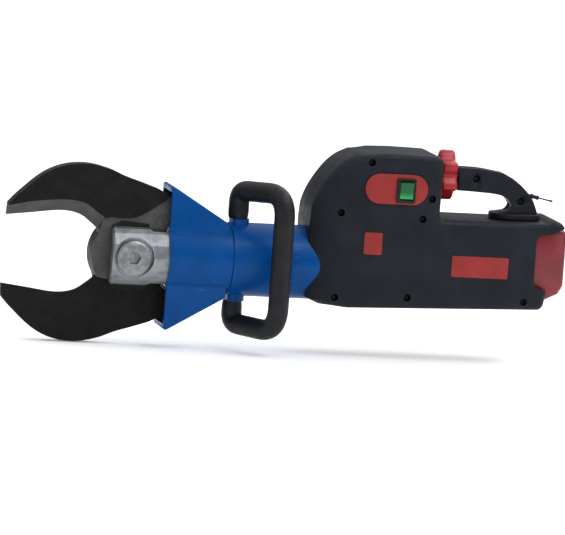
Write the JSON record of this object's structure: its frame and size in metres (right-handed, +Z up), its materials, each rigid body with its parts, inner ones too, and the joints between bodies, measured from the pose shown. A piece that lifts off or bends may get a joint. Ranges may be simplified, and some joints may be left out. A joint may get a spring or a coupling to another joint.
{
  "type": "rebar cutter",
  "caption": "Battery-hydraulic scissor rebar cutter: curved blades in a steel fork, winged ram housing, bow handle, motor casing with rear handle and slide-in battery.",
  "frame": {"origin": "centre of the underside of the whole tool's box, below the pivot axis plane", "axes": "+X from the blade tips towards the battery, +Y away from the bow handle's grip, +Z up"},
  "size_m": [0.77, 0.154, 0.2851],
  "materials": {
    "blue_enamel": "gloss enamel with chipped edges",
    "turned_steel": "turned, satin",
    "steel": "machined, dull",
    "ground_steel": "ground and plated",
    "black_oxide": "blackened tool steel",
    "black_rubber": "matt",
    "grey_black_plastic": "fine grain, satin",
    "red_plastic": "semi-gloss",
    "green_rocker": "gloss",
    "cast_aluminium": "cast, satin",
    "copper": "wound copper",
    "board_green": "circuit board"
  },
  "bodies": {
    "frame": {"bow_sleeve": "black_rubber", "bow_stud_bottom": "steel", "bow_stud_top": "steel", "bow_tube": "steel", "cable_gland": "black_rubber", "casing_far": "grey_black_plastic", "casing_near": "grey_black_plastic", "controller_board": "board_green", "cylinder_barrel": "blue_enamel", "fork": "turned_steel", "front_label": "red_plastic", "handle_base": "black_rubber", "handle_far": "grey_black_plastic", "handle_near": "grey_black_plastic", "handle_neck": "steel", "handle_screw_front": "black_oxide", "handle_screw_rear": "black_oxide", "motor_can": "steel", "oil_reservoir": "grey_black_plastic", "pivot_bolt": "steel", "pivot_nut": "steel", "pump_block": "cast_aluminium", "rod_gland": "steel", "screw_belly_front": "black_oxide", "screw_belly_middle": "black_oxide", "screw_belly_rear": "black_oxide", "screw_block_low": "black_oxide", "screw_block_rear": "black_oxide", "screw_nose_upper": "black_oxide", "screw_top_front": "black_oxide", "side_label": "red_plastic", "signal_lead": "black_rubber", "switch_frame": "black_rubber", "switch_plate": "red_plastic", "terminal_block": "grey_black_plastic", "valve_block": "cast_aluminium", "valve_manifold": "cast_aluminium", "wear_plate_far": "black_oxide", "wear_plate_near": "black_oxide", "wing_frame": "blue_enamel"},
    "upper_blade": {"upper_blade": "black_oxide", "tail_pin_upper": "ground_steel"},
    "lower_blade": {"lower_blade": "black_oxide", "tail_pin_lower": "ground_steel"},
    "upper_links": {"link_upper_outer": "steel", "link_upper_inner": "steel"},
    "lower_links": {"link_lower_outer": "steel", "link_lower_inner": "steel"},
    "ram": {"piston_rod": "ground_steel", "piston": "steel", "piston_seal": "black_rubber", "rod_pin": "ground_steel"},
    "valve_knob": {"star_knob": "red_plastic", "valve_sleeve": "steel"},
    "rocker": {"switch_rocker": "green_rocker"},
    "battery": {"battery_pack": "red_plastic"},
    "latch": {"battery_latch": "grey_black_plastic"},
    "drive_rotor": {"motor_rotor": "copper", "eccentric_shaft": "steel"}
  },
  "joints": [
    {"name": "upper_blade_pivot", "type": "hinge", "parent": "frame", "child": "upper_blade", "pos_m": [-0.213, 0.021, 0.1221], "axis": [0, -1, 0], "range_deg": [0, 30]},
    {"name": "lower_blade_pivot", "type": "hinge", "parent": "frame", "child": "lower_blade", "pos_m": [-0.213, 0.021, 0.1221], "axis": [0, 1, 0], "range_deg": [0, 30]},
    {"name": "upper_link_pin", "type": "hinge", "parent": "upper_blade", "child": "upper_links", "pos_m": [-0.15765, 0.021, 0.15805], "axis": [0, 1, 0], "range_deg": [0, 60]},
    {"name": "lower_link_pin", "type": "hinge", "parent": "lower_blade", "child": "lower_links", "pos_m": [-0.15765, 0.021, 0.08615], "axis": [0, -1, 0], "range_deg": [0, 60]},
    {"name": "ram_slide", "type": "slide", "parent": "frame", "child": "ram", "axis": [-1, 0, 0], "range_m": [0, 0.049]},
    {"name": "star_knob_turn", "type": "hinge", "parent": "frame", "child": "valve_knob", "pos_m": [0.219, 0.021, 0.2511], "axis": [1, 0, 0], "range_deg": [-30, 30], "stiffness_Nm_per_rad": 0.6},
    {"name": "switch_rock", "type": "hinge", "parent": "frame", "child": "rocker", "pos_m": [0.1525, -0.0345, 0.2326], "axis": [-1, 0, 0], "range_deg": [0, 16]},
    {"name": "battery_slide", "type": "slide", "parent": "frame", "child": "battery", "axis": [1, 0, 0], "range_m": [0, 0.12]},
    {"name": "battery_latch_slide", "type": "slide", "parent": "frame", "child": "latch", "axis": [-1, 0, 0], "range_m": [0, 0.003], "stiffness_N_per_m": 400},
    {"name": "drive_rotor_turn", "type": "hinge", "parent": "frame", "child": "drive_rotor", "pos_m": [0.187, 0.021, 0.1311], "axis": [1, 0, 0], "continuous": true}
  ],
  "couplings": [
    {"joint": "lower_blade_pivot", "follows": "upper_blade_pivot", "ratio": 1},
    {"joint": "upper_link_pin", "follows": "upper_blade_pivot", "ratio": 2},
    {"joint": "lower_link_pin", "follows": "upper_blade_pivot", "ratio": 2},
    {"joint": "ram_slide", "follows": "upper_blade_pivot", "m_per_rad": 0.0932}
  ]
}
